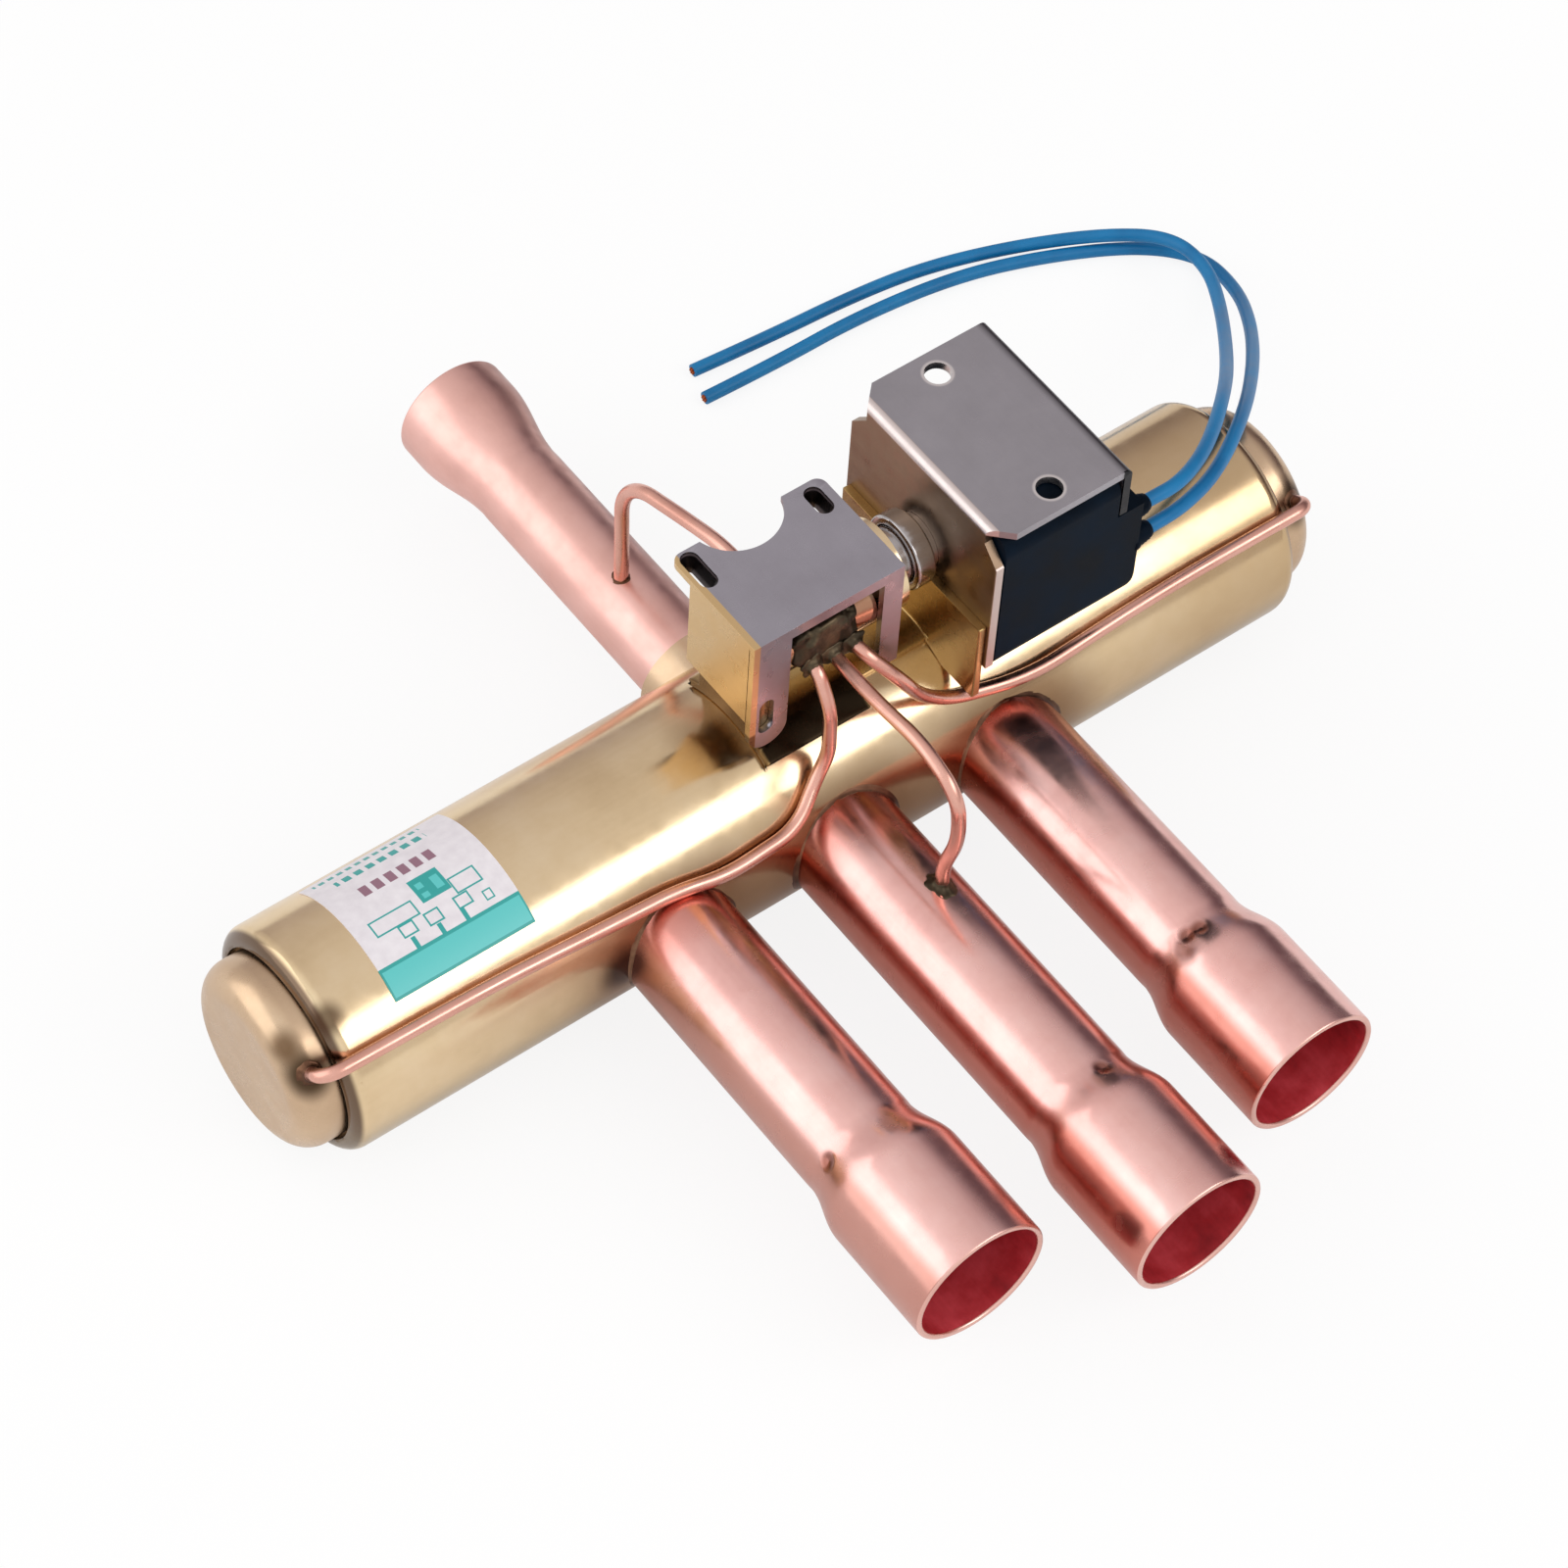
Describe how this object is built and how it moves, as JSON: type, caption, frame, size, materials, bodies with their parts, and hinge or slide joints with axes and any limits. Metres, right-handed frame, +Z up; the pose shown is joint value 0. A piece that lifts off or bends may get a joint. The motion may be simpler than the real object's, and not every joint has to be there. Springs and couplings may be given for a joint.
{
  "type": "reversing valve",
  "caption": "Four-way reversing valve for a heat pump: brass body with belled copper tubes, pilot valve, solenoid coil in a folded yoke, capillary tubes and two leads.",
  "frame": {"origin": "middle of the base of the bounding box, without the two leads; the body's axis is 20 mm above it and 9.1 mm behind it", "axes": "+X along the main body towards the coil, -Y the way the three front tubes open, +Y the way the discharge tube opens, +Z up through the pilot valve"},
  "size_m": [0.2432, 0.202, 0.0769],
  "materials": {
    "body_brass": "satin",
    "tube_copper": "satin",
    "capillary_copper": "satin",
    "dark_braze": "rough",
    "seat_brass": "satin",
    "zinc_steel": "satin",
    "saddle_steel": "satin",
    "stainless": "satin",
    "coil_black": "matte",
    "slider_plastic": "matte",
    "seal_plastic": "matte",
    "winding_copper": "gloss",
    "lead_blue": "gloss",
    "label_print": "satin"
  },
  "bodies": {
    "valve_body": {"main_body": "body_brass", "end_cap_left": "body_brass", "end_cap_right": "body_brass", "tube_evaporator": "tube_copper", "tube_suction": "tube_copper", "tube_condenser": "tube_copper", "tube_discharge": "tube_copper", "discharge_collar": "body_brass", "valve_seat": "seat_brass", "pilot_body": "tube_copper", "pilot_braze_block": "dark_braze", "pilot_seat": "seat_brass", "plunger_sleeve": "stainless", "sleeve_collar": "stainless", "fixed_core": "stainless", "plunger_spring": "stainless", "bobbin": "slider_plastic", "winding": "winding_copper", "coil_case": "coil_black", "coil_screw": "zinc_steel", "coil_yoke": "zinc_steel", "pilot_bracket": "zinc_steel", "saddle_bracket": "saddle_steel", "label": "label_print", "capillary_left": "capillary_copper", "capillary_right": "capillary_copper", "capillary_middle": "capillary_copper", "capillary_discharge": "capillary_copper", "lead_outer": "lead_blue", "lead_inner": "lead_blue"},
    "main_slide": {"main_slider": "slider_plastic", "slide_carrier": "seat_brass", "slider_spring": "stainless", "piston_left": "seat_brass", "piston_right": "seat_brass", "piston_seal_left": "seal_plastic", "piston_seal_right": "seal_plastic", "piston_screw_left_1": "stainless", "piston_screw_left_2": "stainless", "piston_screw_right_1": "stainless", "piston_screw_right_2": "stainless"},
    "pilot_plunger": {"plunger": "stainless", "pilot_carrier": "stainless", "pilot_slider": "slider_plastic"}
  },
  "joints": [
    {"name": "slide_travel", "type": "slide", "parent": "valve_body", "child": "main_slide", "axis": [1, 0, 0], "range_m": [0, 0.0332]},
    {"name": "plunger_travel", "type": "slide", "parent": "valve_body", "child": "pilot_plunger", "axis": [1, 0, 0], "range_m": [0, 0.004], "stiffness_N_per_m": 300, "springref_m": -0.003, "deforming": ["plunger_spring"]}
  ]
}
